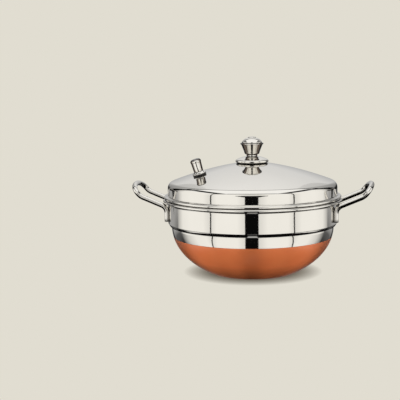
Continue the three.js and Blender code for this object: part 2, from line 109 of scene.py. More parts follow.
def bend(start, corner, end, steps):  # a curve from start to end, drawn towards the corner
    points = []
    for i in range(steps + 1):
        t = i / steps
        weights = ((1 - t) ** 2, 2 * t * (1 - t), t ** 2)
        points.append(tuple(sum(w * p[k] for w, p in zip(weights, (start, corner, end))) for k in (0, 1)))
    return points


def ringOutline(hole, radius, low, high, edge):  # a ring or a rod with its corners cut
    return [(hole, low), (radius - edge, low), (radius, low + edge),
            (radius, high - edge), (radius - edge, high), (hole, high)]


def straight(start, end, tuck=0.35):  # extra points by the ends keep a mirror flat between them
    length = math.dist(start, end)
    shares = (0, tuck / length, 1 - tuck / length, 1)
    return [tuple(a + (b - a) * s for a, b in zip(start, end)) for s in shares]


def turned(outline, around):
    bm = bmesh.new()
    verts = [bm.verts.new((r * mm, 0, z * mm)) for r, z in outline]
    pairs = list(zip(verts, verts[1:]))
    if outline[0][0] > 0 or outline[-1][0] > 0:
        pairs.append((verts[-1], verts[0]))  # an outline off the axis closes on itself
    edges = [bm.edges.new(pair) for pair in pairs]
    bmesh.ops.spin(bm, geom=verts + edges, cent=(0, 0, 0), axis=(0, 0, 1), angle=math.tau,
                   steps=around, use_merge=True)
    cleanUp(bm)
    return bm


def cleanUp(bm):
    bmesh.ops.remove_doubles(bm, verts=bm.verts, dist=mergeDistance)
    bmesh.ops.dissolve_degenerate(bm, edges=bm.edges, dist=slimDistance)
    bmesh.ops.recalc_face_normals(bm, faces=bm.faces)


def grow(bm, edges):  # extrudes a chain of edges, and gives its new points and edges
    grown = bmesh.ops.extrude_edge_only(bm, edges=edges)["geom"]
    verts = [g for g in grown if isinstance(g, bmesh.types.BMVert)]
    return verts, [g for g in grown if isinstance(g, bmesh.types.BMEdge) and all(v in verts for v in g.verts)]


def newObject(name, data):
    obj = bpy.data.objects.new(name, data)
    scene.collection.objects.link(obj)
    return obj


def addDrill(bm, radius, length, sides, place):
    bmesh.ops.create_cone(bm, cap_ends=True, segments=sides, radius1=radius * mm, radius2=radius * mm,
                          depth=length * mm, matrix=place)


def roundEdges(bm, edges, offset):
    bmesh.ops.bevel(bm, geom=edges, offset=offset * mm, affect="EDGES", segments=3, profile=0.5, material=-1)


def meshOf(name, bm):
    mesh = bpy.data.meshes.new(name)
    bm.to_mesh(mesh)
    bm.free()
    return mesh


def carved(mesh, tool, operation):  # joins a second mesh to the first, or cuts it out
    pair = [newObject("carving", m) for m in (mesh, tool)]
    cut = pair[0].modifiers.new("cut", "BOOLEAN")
    cut.operation = operation
    cut.solver = "EXACT"
    cut.object = pair[1]
    depsgraph = bpy.context.evaluated_depsgraph_get()
    result = bpy.data.meshes.new_from_object(pair[0].evaluated_get(depsgraph))
    for obj in pair:
        old = obj.data
        bpy.data.objects.remove(obj)
        bpy.data.meshes.remove(old)
    return result


def addPiece(name, mesh, body, slot, finish, *nodes):
    mesh.name = name
    mesh.materials.clear()
    mesh.materials.append(finish)
    mesh.shade_smooth()
    mesh.set_sharp_from_angle(angle=sharpAngle)
    obj = newObject(name, mesh)
    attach(obj, body)
    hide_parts(*nodes)


def addTurned(name, outline, around, body, slot, finish, *nodes, place=None):
    bm = turned(outline, around)
    if place:
        bmesh.ops.transform(bm, matrix=place, verts=bm.verts[:])
    addPiece(name, meshOf(name, bm), body, slot, finish, *nodes)


def boxZ(node):  # lowest and highest point of a node, in mm
    low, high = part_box(node)
    return low.z / mm, high.z / mm


# Materials

def turnedLines(tree, spot, spacing):  # fine rings about the pot's axis, as a lathe or a mop leaves
    flat = addNode(tree, "ShaderNodeVectorMath", {0: spot, 1: (1, 1, 0)}, operation="MULTIPLY")
    reach = addNode(tree, "ShaderNodeVectorMath", {0: flat.outputs["Vector"]}, operation="LENGTH")
    ring = addNode(tree, "ShaderNodeCombineXYZ", {"X": reach.outputs["Value"], "Y": heightOf(tree, spot)})
    return noise(tree, ring.outputs["Vector"], spacing, polishAndCreaseShade["lineDetail"], noise_dimensions="2D")


polishAndCreaseShade = dict(
    hazeRange=(0.3, 0.7), hazeDetail=4, lineDetail=2, lineStrength=0.1,
    # painted shade in the creases: its range, colour and samples
    paintedCreaseShadeRange=(0.7, 0.3), paintedCreaseShadeColour="#1C1A18", paintedCreaseShadeSamples=8,
)


def metalFinish(name, light, dark, roughness, patch, lineSpacing, lineDepth, paintedCreaseShade=0, paintedRimReflection=(), under=None,
                surface=None):
    # patch is the size of the hazy areas, and roughness runs from their clear to their hazy end
    material, tree = newMaterial(name)
    spot = addNode(tree, "ShaderNodeTexCoord").outputs["Object"]
    haze = noise(tree, spot, patch, polishAndCreaseShade["hazeDetail"])
    tone = blend(tree, haze, linear(light), linear(dark))
    clear, hazy = polishAndCreaseShade["hazeRange"]
    gloss = addNode(tree, "ShaderNodeMapRange", {"Value": haze, "From Min": clear, "From Max": hazy,
                                                 "To Min": roughness[0], "To Max": roughness[1]})
    relief = addNode(tree, "ShaderNodeBump", {"Height": turnedLines(tree, spot, lineSpacing),
                                              "Strength": polishAndCreaseShade["lineStrength"], "Distance": lineDepth})
    shades = []
    if paintedCreaseShade:  # painted shade: the colour darkens in the creases, where the surface is hemmed in
        nearby = addNode(tree, "ShaderNodeAmbientOcclusion", {"Distance": paintedCreaseShade},
                         samples=polishAndCreaseShade["paintedCreaseShadeSamples"])
        shades.append((nearby.outputs["AO"], *polishAndCreaseShade["paintedCreaseShadeRange"], polishAndCreaseShade["paintedCreaseShadeColour"]))
    if paintedRimReflection:  # painted reflection of the unlit room at a small round part's sides: brown first, then black at the outline
        facing = addNode(tree, "ShaderNodeLayerWeight", {"Blend": 0.5}).outputs["Facing"]
        shades += [(facing, *band) for band in paintedRimReflection]
    if under:  # painted shade: faces that look down turn darker
        normal = addNode(tree, "ShaderNodeNewGeometry").outputs["Normal"]
        shades.append((heightOf(tree, normal), *under))
    for value, fromValue, toValue, colour in shades:
        share = addNode(tree, "ShaderNodeMapRange", {"Value": value, "From Min": fromValue,
                                                     "From Max": toValue}).outputs["Result"]
        tone = blend(tree, share, tone, linear(colour))
    around = addNode(tree, "ShaderNodeTangent", direction_type="RADIAL", axis="Z").outputs["Tangent"]
    shader = addNode(tree, "ShaderNodeBsdfPrincipled", {
        "Base Color": tone, "Metallic": 1, "Tangent": around, "Roughness": gloss.outputs["Result"],
        "Normal": relief.outputs["Normal"], **(surface or {})})
    setSurface(tree, shader.outputs["BSDF"])
    return material


# real polish lines are far under 0.1 mm apart, and are drawn at 0.7 mm so that they show
buffed = dict(
    light="#E5E2DC", dark="#DEDBD4", roughness=(0.03, 0.06), lineSpacing=0.7 * mm, lineDepth=0.02 * mm,
    # painted shade darkens the creases within this distance
    paintedCreaseShade=4 * mm,
)
# stainless sheet, buffed on a mop: a clear mirror with faint rings and a wiped haze, and painted shade in its
# creases
mirrorSteel = metalFinish("mirrorPolishedStainless", patch=45 * mm, **buffed)
# stainless rod, bent and buffed: the same mirror, with painted shade underneath that stands for the dark
# table it shows
rodSteel = metalFinish("buffedStainlessRod", patch=20 * mm, under=(-0.02, -0.14, "#14110F"), **buffed)
# stainless turned on a lathe and buffed: the same mirror, with painted reflection that darkens its sides
# where a small part turns away
turnedSteel = metalFinish("turnedPolishedStainless", patch=20 * mm,
                          paintedRimReflection=((0.19, 0.27, "#645A53"), (0.42, 0.52, "#14110F")), **buffed)
# stainless sheet pressed and brushed: soft grey, with turned lines that spread the light
satinSteel = metalFinish("satinBrushedStainless", light="#D2D1CD", dark="#C4C3BE", roughness=(0.22, 0.32),
                         patch=25 * mm, lineSpacing=0.5 * mm, lineDepth=0.06 * mm)
# copper plated on the bowl, brushed round it and lacquered: warm orange, with a mirror that the brushing
# blurs into upright streaks, a pale sheen from the lacquer, and painted shade that turns it browner towards
# the base
satinCopper = metalFinish("brushedLacqueredCopper", light="#FF945A", dark="#F28248", roughness=(0.55, 0.62),
                          patch=30 * mm, lineSpacing=0.8 * mm, lineDepth=0.03 * mm,
                          # painted shade: browner on faces that look down, towards the base
                          under=(-0.7, -1, "#9A4F29"),
                          surface={"Metallic": 0.75, "Anisotropic": 0.93, "Anisotropic Rotation": 0.25,
                                   "Coat Weight": 1, "Coat Roughness": 0.3})


silicone = dict(
    light="#2A2826", dark="#1B1A19", roughness=0.55, ior=1.41,
    grain=0.6, grainDetail=2, grainDepth=0.05, grainStrength=0.2,
)


def blackSilicone():
    # moulded silicone rubber: near black and matt, with a fine moulded grain
    s = silicone
    material, tree = newMaterial("mouldedBlackSilicone")
    spot = addNode(tree, "ShaderNodeTexCoord").outputs["Object"]
    grain = noise(tree, spot, s["grain"] * mm, s["grainDetail"])
    tone = blend(tree, grain, linear(s["dark"]), linear(s["light"]))
    relief = addNode(tree, "ShaderNodeBump", {"Height": grain, "Strength": s["grainStrength"],
                                              "Distance": s["grainDepth"] * mm})
    shader = addNode(tree, "ShaderNodeBsdfPrincipled", {
        "Base Color": tone, "Normal": relief.outputs["Normal"], "Roughness": s["roughness"], "IOR": s["ior"]})
    setSurface(tree, shader.outputs["BSDF"])
    return material


rubber = blackSilicone()
print("materials made")


# Pot: the bowl, its copper and its handles

pot = dict(
    sheet=1.2, wallRadius=125, wallBottom=75.2, wallTop=103,
    bowlRadius=119.8, bowlDrop=81.8, bowlTop=70,  # the bowl is part of an ellipse
    bowlEase=0.4, bowlBlend=5,  # the bowl stops short of the step, and thins above the copper
    stepRadius=5.2, stepFrom=-60, stepPull=(124, 72.8), stepEase=0.3,
    flare=2.6, flareTurn=70, flareInside=95,
    bead=2.2, beadFrom=225, beadTo=510,
    copper=0.8, copperGap=0.12, seamRound=0.35,
    around=192,
)


def bowlCurve(inset, fromZ, toZ, steps):
    across, down = pot["bowlRadius"] - inset, pot["bowlDrop"] - inset
    ends = [math.asin((pot["bowlTop"] - z) / down) for z in (fromZ, toZ)]
    angles = [ends[0] + (ends[1] - ends[0]) * i / steps for i in range(steps + 1)]
    return [(across * math.cos(a), pot["bowlTop"] - down * math.sin(a)) for a in angles]


def makeKadai():
    p = pot
    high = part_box("kadai_bowl")[1]
    rimReach = high.y / mm
    rimHeight = high.z / mm - p["bead"]
    under = p["copper"] + p["copperGap"]
    shoulder = boxZ("copper_skin")[1] + p["copperGap"]
    floor = under + p["sheet"]
    wall, wallTop, wallBottom = p["wallRadius"], p["wallTop"], p["wallBottom"]
    flareR = wall + p["flare"]
    inside = wall - p["sheet"]
    # up the outside to the rim, and back down the inside
    outline = [(0, under)]
    outline += bowlCurve(under, under, shoulder, steps=24)
    outline += bowlCurve(0, shoulder, p["bowlTop"] - p["bowlEase"], steps=20)
    outline += [(p["bowlRadius"], p["bowlTop"])]
    stepFoot = arc(p["bowlRadius"], wallBottom, p["stepRadius"], p["stepFrom"], 0, steps=1)[0]
    outline += bend(stepFoot, p["stepPull"], (wall - p["stepEase"], wallBottom), steps=12)
    outline += straight((wall, wallBottom + p["stepEase"]), (wall, wallTop))[:-1]
    outline += arc(flareR, wallTop, p["flare"], 180, 180 - p["flareTurn"], steps=10)
    outline += arc(rimReach - p["bead"], rimHeight, p["bead"], p["beadFrom"], p["beadTo"], steps=30)
    outline += arc(flareR, wallTop, p["flare"] + p["sheet"], p["flareInside"], 180, steps=10)
    outline += straight((inside, wallTop), (inside, wallBottom))[1:-1]
    outline += arc(p["bowlRadius"], wallBottom, p["stepRadius"] - p["sheet"], 0, -90, steps=12)
    outline += [(p["bowlRadius"] - p["sheet"], p["bowlTop"] + p["sheet"])]
    outline += bowlCurve(p["sheet"], p["bowlTop"], shoulder + p["bowlBlend"], steps=8)
    outline += bowlCurve(floor, shoulder, floor, steps=30)
    outline += [(0, floor)]
    addTurned("kadaiShell", outline, p["around"], "kadai", "polished_steel", mirrorSteel, "kadai_bowl")


def makeCopper():
    p = pot
    copperTop = boxZ("copper_skin")[1]
    outline = [(0, 0)]
    outline += bowlCurve(0, 0, copperTop - p["seamRound"], steps=48)
    outline += bowlCurve(p["copper"] - p["seamRound"], copperTop, copperTop, steps=1)[:1]
    outline += bowlCurve(p["copper"], copperTop, p["copper"], steps=24)
    outline += [(0, p["copper"])]
    addTurned("copperBottom", outline, p["around"], "kadai", "copper", satinCopper,
              "base_disc", "copper_skin")


handle = dict(
    rod=3.7, sides=32,
    legMiddle=127.2, loopHalf=34, legLength=21, footBend=9,
    rise=22.5, straightLength=38, straightShares=(0.05, 0.5, 0.95),
    upturnRadius=20, upturnRise=52, loopReach=13.5, middleShare=0.75,
    weldFlat=125.06, footRound=0.7,
    bendPoints=17, upturnPoints=13, loopPoints=65,
)
legX = math.sqrt(handle["legMiddle"] ** 2 - handle["loopHalf"] ** 2)


def roundedCorner(start, corner, end, points):
    pull = 2 / 3  # a cubic curve pulled this far turns as a quadratic one does
    return interpolate_bezier(start, start.lerp(corner, pull), end.lerp(corner, pull), end, points)


def handleRoute():  # the rod's middle, from its front foot to the middle of the loop
    h = handle
    rise, upturn = math.radians(h["rise"]), math.radians(h["upturnRise"])

    def along(angle, length):
        return Vector((math.cos(angle), 0, math.sin(angle))) * length * mm

    foot = Vector((legX, -h["loopHalf"], boxZ("right_handle")[0])) * mm
    corner = foot + Vector((0, 0, h["legLength"] * mm))
    tangent = h["upturnRadius"] * math.tan((upturn - rise) / 2)
    bendStart = corner - Vector((0, 0, h["footBend"] * mm))
    bendEnd = corner + along(rise, h["footBend"])
    upStart = corner + along(rise, h["straightLength"])
    upCorner = upStart + along(rise, tangent)
    upEnd = upCorner + along(upturn, tangent)
    pull = upEnd + along(upturn, h["loopReach"] / h["middleShare"])
    across = Matrix.Scale(-1, 3, (0, 1, 0))
    route = [foot, foot.lerp(bendStart, 0.5)]
    route += roundedCorner(bendStart, corner, bendEnd, h["bendPoints"])
    route += [bendEnd.lerp(upStart, share) for share in h["straightShares"]]
    route += roundedCorner(upStart, upCorner, upEnd, h["upturnPoints"])
    loop = interpolate_bezier(upEnd, pull, across @ pull, across @ upEnd, h["loopPoints"])
    return route + loop[1:h["loopPoints"] // 2 + 1]


def sweptRod(route, radius, sides):
    bm = bmesh.new()
    last = len(route) - 1
    headings = [(route[min(i + 1, last)] - route[max(i - 1, 0)]).normalized() for i in range(last + 1)]
    headings[-1] = Vector((0, 1, 0))  # the end is square to the mirror plane
    tilt = Vector((0, 0, 1)).rotation_difference(headings[0]).to_matrix().to_4x4()
    bmesh.ops.create_circle(bm, cap_ends=True, radius=radius * mm, segments=sides,
                            matrix=Matrix.Translation(route[0]) @ tilt)
    edges = bm.edges[:]
    for i in range(1, last + 1):
        verts, edges = grow(bm, edges)
        turn = headings[i - 1].rotation_difference(headings[i]).to_matrix().to_4x4()
        step = Matrix.Translation(route[i]) @ turn @ Matrix.Translation(-route[i - 1])
        bmesh.ops.transform(bm, matrix=step, verts=verts)
    return bm


def makeHandles():
    h = handle
    bm = sweptRod(handleRoute(), h["rod"], h["sides"])
    # the leg is cut flat where it is welded to the wall, and the half handle is mirrored
    leg = Vector((legX, -h["loopHalf"], 0)).normalized()
    bmesh.ops.bisect_plane(bm, geom=bm.verts[:] + bm.edges[:] + bm.faces[:],
                           plane_co=leg * h["weldFlat"] * mm, plane_no=leg, clear_inner=True)
    openEdges = [e for e in bm.edges if e.is_boundary and min(v.co.y for v in e.verts) < -h["rod"] * mm]
    bmesh.ops.holes_fill(bm, edges=openEdges, sides=0)
    bmesh.ops.mirror(bm, geom=bm.verts[:] + bm.edges[:] + bm.faces[:], merge_dist=levelDistance, axis="Y")
    cleanUp(bm)
    footZ = min(v.co.z for v in bm.verts)
    rims = [e for e in bm.edges if max(v.co.z for v in e.verts) < footZ + levelDistance]
    roundEdges(bm, rims, h["footRound"])
    right = meshOf("handle", bm)
    left = right.copy()
    left.transform(Matrix.Rotation(math.pi, 4, "Z"))
    addPiece("rightRodHandle", right, "kadai", "polished_steel", rodSteel, "right_handle")
    addPiece("leftRodHandle", left, "kadai", "polished_steel", rodSteel, "left_handle")


makeKadai()
makeCopper()
makeHandles()
print("pot made")


# Lid: the shell, the knob and the vent

lid = dict(
    sheet=1, wallRadius=125, shoulder=9.5, edgeSlope=21, centreSlope=6.5, ease=0.4,
    flare=0.9, flareTurn=70, bead=2.3, beadFrom=130, beadTo=-140, skirt=10.7,
    lipRadius=123.2, lipDepth=10, lipEdge=0.4, lipTop=0.5,
    lipTurn=((0.8, -0.3), (0, -1)),  # points between bead and lip, out from the lip and up from the bead
    screwHole=3.3, drillLength=8, drillSides=48, around=192,
)
lidLow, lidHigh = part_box("lid_shell")
lidReach = lidHigh.y / mm
lidRim = lidLow.z / mm + lid["lipDepth"]  # middle of the bead
lidFlare = lidRim + lid["bead"] + lid["flare"]
skirtTop = lidFlare + lid["skirt"]
edgeTilt = math.radians(lid["edgeSlope"])
domeEdge = lid["wallRadius"] - lid["shoulder"] * (1 - math.sin(edgeTilt))
domeFoot = skirtTop + lid["shoulder"] * math.cos(edgeTilt)


def domeSlope(r):
    steepest, flattest = math.tan(edgeTilt), math.tan(math.radians(lid["centreSlope"]))
    return flattest + (steepest - flattest) * r / domeEdge


def domeHeight(r):
    return domeFoot + (domeSlope(r) + math.tan(edgeTilt)) / 2 * (domeEdge - r)


def domeCurve(fromR, toR, depth, steps):  # the dome's outline, or a line at a depth under it
    points = []
    for i in range(steps + 1):
        r = fromR + (toR - fromR) * i / steps
        tilt = math.atan(domeSlope(r))
        points.append((r - depth * math.sin(tilt), domeHeight(r) - depth * math.cos(tilt)))
    return points


vent = dict(
    radius=82, azimuth=207,  # azimuth from +X
    pipe=4.2, bore=2, hole=4.5, above=8, below=9, pipeEdge=0.5,  # heights are along the vent's own axis
    gasket=9.6, gasketFrom=0.05, gasketTo=2.25, gasketRound=0.6,
    collar=10, collarTop=7.4, collarFrom=2.3, collarTo=5.4, collarRound=0.6, collarRoundTo=60,
    collarPull=(0.6, -1), collarEdge=0.2,
    washer=8.5, washerFrom=-2.8, washerTo=-1.8, washerEdge=0.25,
    nutFlats=13, nutFrom=-7.1, nutTo=-3.1, around=64,
)
ventPlace = (Matrix.Rotation(math.radians(vent["azimuth"]), 4, "Z")
             @ Matrix.Translation(Vector((vent["radius"], 0, domeHeight(vent["radius"]))) * mm)
             @ Matrix.Rotation(math.atan(domeSlope(vent["radius"])), 4, "Y"))


def makeLid():
    p = lid
    shoulderR = p["wallRadius"] - p["shoulder"]
    lipInside = p["lipRadius"] - p["sheet"]
    lipRoundZ = lidLow.z / mm + p["lipEdge"]
    skin = p["wallRadius"] - p["sheet"]
    # down the outside to the lip, and back up the inside
    outline = domeCurve(p["screwHole"], domeEdge - p["ease"], 0, steps=48)
    outline += arc(shoulderR, skirtTop, p["shoulder"], 90 - p["edgeSlope"], 0, steps=24)
    outline += straight((p["wallRadius"], skirtTop), (p["wallRadius"], lidFlare))[1:-1]
    outline += arc(p["wallRadius"] + p["flare"], lidFlare, p["flare"], 180, 180 + p["flareTurn"], steps=10)
    outline += arc(lidReach - p["bead"], lidRim, p["bead"], p["beadFrom"], p["beadTo"], steps=30)
    outline += [(p["lipRadius"] + out, lidRim + up) for out, up in p["lipTurn"]]
    outline += arc(p["lipRadius"] - p["lipEdge"], lipRoundZ, p["lipEdge"], 0, -90, steps=4)
    outline += arc(lipInside + p["lipEdge"], lipRoundZ, p["lipEdge"], -90, -180, steps=4)
    outline += [(lipInside, lidRim + p["bead"] - p["lipTop"]), (skin, lidFlare), (skin, lidFlare + p["ease"])]
    outline += arc(shoulderR, skirtTop, p["shoulder"] - p["sheet"], 0, 90 - p["edgeSlope"], steps=16)
    outline += domeCurve(domeEdge - p["ease"], p["screwHole"], p["sheet"], steps=40)
    drill = bmesh.new()
    addDrill(drill, vent["hole"], p["drillLength"], p["drillSides"], ventPlace)
    shell = carved(meshOf("lid", turned(outline, p["around"])), meshOf("drill", drill), "DIFFERENCE")
    addPiece("lidDome", shell, "lid", "polished_steel", mirrorSteel, "lid_shell")


knob = dict(
    edge=0.3,  # small corner cuts
    foot=24.3, footEdge=5.2, footGap=0.12, footEase=0.5, edgeFrom=-85, edgeTo=63, bulge=0.77,
    neck=8, neckTop=1.6, neckEase=2,
    cupFoot=9.4, cupHeight=16.6, cupRim=17, lip=1.2, lipFrom=-75, lipTo=110, lipEase=0.2, wall=1.2, floor=1.6,
    cupTurn=((0.6, 0.2), (1.5, 0.7), (2.1, 3.4)),  # the turn up into the side, out and up from the cup's foot
    cupSide=(2.3, 4.2),
    cap=14.8, capGap=0.3, capEdge=1.4, capEase=0.2, capPull=(6.2, -1.4), capTop=1.4,
    button=5.6, buttonRise=1.4, buttonRound=0.6, buttonFoot=(0.5, 0.1), buttonFlat=1.2,
    screw=3, screwTip=0.6, screwHead=5.5, screwHeadHeight=3.2, headFlat=0.5, headRim=1,
    washer=9, washerCone=0.6, nutFlats=10, around=96, screwAround=48, washerAround=64,
)


def makeKnob():
    p = knob
    hole, edge = lid["screwHole"], p["edge"]
    makeKnobFoot(hole)

    low, high = boxZ("knob_cup")
    seat = high + p["capGap"]
    bottom = high - p["cupHeight"]
    inside = p["cupRim"] - 2 * p["wall"]
    lipR, lipZ = p["cupRim"] - p["lip"], high - p["lip"]
    outline = [(hole, low), (p["neck"] - edge, low), (p["neck"], low + edge), (p["neck"], low + p["neckTop"])]
    outline += bend((p["neck"], low + p["neckEase"]), (p["neck"] + edge, bottom - edge),
                    (p["cupFoot"] + edge, bottom), steps=8)
    outline += bend(*[(p["cupFoot"] + out, bottom + up) for out, up in p["cupTurn"]], steps=8)
    outline += straight((p["cupFoot"] + p["cupSide"][0], bottom + p["cupSide"][1]),
                        (lipR, lipZ - p["lip"] + p["lipEase"]))[1:]
    outline += arc(lipR, lipZ, p["lip"], p["lipFrom"], p["lipTo"], steps=16)
    outline += [(inside, high - edge), (p["cupFoot"] - p["wall"], bottom + p["floor"])]
    outline += [(hole, bottom + p["floor"])]
    addTurned("knobCup", outline, p["around"], "lid", "polished_steel", turnedSteel, "knob_cup")

    low, high = boxZ("knob_cap")
    buttonFoot = high - p["buttonRise"]
    outline = [(0, low), (inside - 2 * p["wall"], low), (inside - p["wall"], seat), (p["cap"] - edge, seat)]
    outline += [(p["cap"], seat + edge), (p["cap"], seat + p["capEdge"] - edge)]
    outline += bend((p["cap"] - p["capEase"], seat + p["capEdge"]),
                    (p["button"] + p["capPull"][0], buttonFoot + p["capPull"][1]),
                    (p["button"] + p["capTop"], buttonFoot), steps=16)
    outline += [(p["button"] + p["buttonFoot"][0], buttonFoot + p["buttonFoot"][1])]
    outline += arc(p["button"] - p["buttonRound"], high - p["buttonRound"], p["buttonRound"], 0, 90, steps=6)
    outline += [(p["button"] - p["buttonFlat"], high), (0, high)]
    addTurned("knobCap", outline, p["around"], "lid", "polished_steel", mirrorSteel, "knob_cap")
    makeKnobFixings(hole)


def makeKnobFoot(hole):
    p = knob
    low, high = boxZ("knob_base")
    edge = p["footEdge"] / 2
    edgeR = p["foot"] - edge
    outline = domeCurve(hole, edgeR - p["footEase"], -p["footGap"], steps=16)
    outline += arc(edgeR, low + edge, edge, p["edgeFrom"], p["edgeTo"], steps=24)
    slopeFoot = outline[-1]
    middle = ((slopeFoot[0] + p["cupFoot"]) / 2, slopeFoot[1] + (high - slopeFoot[1]) * p["bulge"])
    outline += bend(slopeFoot, middle, (p["cupFoot"], high), steps=24)[1:] + [(hole, high)]
    addTurned("knobFoot", outline, p["around"], "lid", "polished_steel", mirrorSteel, "knob_base")


def makeKnobFixings(hole):
    p = knob
    headR = p["screwHead"]
    low, high = boxZ("knob_screw")
    head = low + p["screwHeadHeight"]
    outline = [(0, low)]
    outline += bend((headR * p["headFlat"], low), (headR, low), (headR, head - p["headRim"]), steps=10)
    outline += [(headR, head), (p["screw"], head), (p["screw"], high - p["screwTip"])]
    outline += [(p["screw"] - p["screwTip"], high), (0, high)]
    addTurned("knobScrewRound", outline, p["screwAround"], "lid", "satin_steel", satinSteel, "knob_screw")

    low, high = boxZ("knob_washer")
    outline = ringOutline(hole, p["washer"], low, high - p["washerCone"], p["edge"])[:-1] + [(hole, high)]
    addTurned("knobWasherCone", outline, p["washerAround"], "lid", "satin_steel", satinSteel, "knob_washer")
    nut = hexNut(p["nutFlats"], hole, *boxZ("knob_nut"))
    addPiece("knobHexNut", nut, "lid", "satin_steel", satinSteel, "knob_nut")


hexagon = dict(round=0.45, cuts=3, holeSides=24, holeMargin=0.5, sharpTurn=0.5)


def hexNut(flats, hole, low, high):
    n = hexagon
    bm = bmesh.new()
    bmesh.ops.create_circle(bm, segments=6, radius=flats / math.sqrt(3) * mm)
    bmesh.ops.subdivide_edges(bm, edges=bm.edges[:], cuts=n["cuts"])
    bmesh.ops.create_circle(bm, segments=n["holeSides"], radius=hole * mm)
    bmesh.ops.bridge_loops(bm, edges=bm.edges[:])
    bmesh.ops.translate(bm, verts=bm.verts[:], vec=(0, 0, low * mm))
    top = bmesh.ops.extrude_face_region(bm, geom=bm.faces[:])["geom"]
    bmesh.ops.translate(bm, verts=[g for g in top if isinstance(g, bmesh.types.BMVert)],
                        vec=(0, 0, (high - low) * mm))
    cleanUp(bm)
    outer = [e for e in bm.edges if min(v.co.xy.length for v in e.verts) > (hole + n["holeMargin"]) * mm
             and e.calc_face_angle(0) > n["sharpTurn"]]
    roundEdges(bm, outer, n["round"])
    return meshOf("nut", bm)


whistle = dict(
    radius=7.9, foot=6.9, footRound=0.5, waist=7.5, brow=1.2, browEase=0.2, height=18.1, round=3.4,
    hole=1.4, holeEdge=0.4, bore=4.6, gap=0.3, around=80,
)


def makeVent():
    v, w = vent, whistle
    edge = v["gasketRound"]
    outline = [(v["hole"], v["gasketFrom"])]
    outline += arc(v["gasket"] - edge, v["gasketFrom"] + edge, edge, -90, 0, steps=8)
    outline += arc(v["gasket"] - edge, v["gasketTo"] - edge, edge, 0, 90, steps=8)
    outline += [(v["hole"], v["gasketTo"])]
    addTurned("ventGasketRing", outline, v["around"], "lid", "silicone", rubber, "vent_gasket",
              place=ventPlace)

    edge = v["collarRound"]
    collarTop, pipeTop = v["collarTo"], v["collarTo"] + v["above"]
    outline = [(v["bore"], -v["below"]), (v["pipe"], -v["below"]), (v["pipe"], v["collarFrom"])]
    outline += arc(v["collar"] - edge, v["collarFrom"] + edge, edge, -90, v["collarRoundTo"], steps=10)
    pull = (v["collarTop"] + v["collarPull"][0], collarTop + v["collarPull"][1])
    outline += bend(outline[-1], pull, (v["collarTop"], collarTop - v["collarEdge"]), steps=8)[1:]
    outline += [(v["collarTop"] - v["collarEdge"], collarTop), (v["pipe"], collarTop)]
    outline += [(v["pipe"], pipeTop - v["pipeEdge"]), (v["pipe"] - v["pipeEdge"], pipeTop)]
    outline += [(v["bore"], pipeTop)]
    addTurned("ventPipeCollar", outline, v["around"], "lid", "polished_steel", mirrorSteel, "vent_seat",
              place=ventPlace)

    outline = ringOutline(v["hole"], v["washer"], v["washerFrom"], v["washerTo"], v["washerEdge"])
    addTurned("ventWasherRing", outline, v["around"], "lid", "satin_steel", satinSteel, "vent_washer",
              place=ventPlace)
    nut = hexNut(v["nutFlats"], v["hole"], v["nutFrom"], v["nutTo"])
    nut.transform(ventPlace)
    addPiece("ventHexNut", nut, "lid", "satin_steel", satinSteel, "vent_nut")

    foot = collarTop + w["gap"]
    top = foot + w["height"]
    browFoot, browTop = top - w["round"] - w["brow"], top - w["round"]
    chamber = pipeTop + v["pipe"]
    outline = [(w["bore"], foot)]
    outline += arc(w["foot"] - w["footRound"], foot + w["footRound"], w["footRound"], -90, 0, steps=8)
    outline += straight((w["foot"], foot + w["footRound"]), (w["waist"], browFoot))[1:]
    outline += bend((w["waist"], browFoot), (w["radius"], browFoot + w["browEase"]), (w["radius"], browTop),
                    steps=6)[1:-1]
    outline += arc(w["radius"] - w["round"], browTop, w["round"], 0, 90, steps=14)
    outline += [(w["hole"] + w["holeEdge"], top), (w["hole"], top - w["holeEdge"])]
    outline += [(w["hole"], chamber + w["bore"]), (w["bore"], chamber)]
    addTurned("whistleWeight", outline, w["around"], "whistle", "polished_steel", turnedSteel, "whistle_cap",
              place=ventPlace)


makeLid()
makeKnob()
makeVent()
print("lid made")


# Rack: two plates with their cups, on a rod with a lifting eye

plate = dict(
    sheet=0.8, lip=4, lipEase=0.3, edgeRound=1.6, edgeEase=0.4, rodHole=3.3, cups=5, margin=9,
    around=160, rodSides=32, cupSides=64,
)
cup = dict(
    sheet=0.8, mouth=35.5, depth=16, flange=39, hole=35.9, seat=0.12,
    mouthRound=1.6, brimReach=0.9, brimFrom=1.2, brimPull=0.2, brimEase=1.5,
    polar=-89.5,  # the last angle before the cup's lowest point
    steamHole=1.7, steamHoles=3, steamRing=17, drillSides=24, around=96,
)
rack = dict(
    rod=3, rodEdge=0.5, rodAround=48, sleeve=6, washer=8, ringEdge=0.3, ringAround=64, nutFlats=10,
    boss=5.6, bossEdge=0.4, bossHeight=10, bossBore=6, bossAround=48,
    eye=11.5, eyeRod=2.3, eyeSides=24, eyeSteps=72,
)


def cupPlaces(tier):
    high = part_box(f"{tier}_idli_plate")[1]
    pitch = high.y / mm - plate["margin"] - cup["mouth"]
    turn = 0 if tier == "lower" else math.pi / plate["cups"]
    places = []
    for i in range(plate["cups"]):
        angle = turn + math.tau * i / plate["cups"]
        spot = Vector((pitch * math.cos(angle), pitch * math.sin(angle), high.z / mm)) * mm
        places.append(Matrix.Translation(spot) @ Matrix.Rotation(angle, 4, "Z"))
    return places


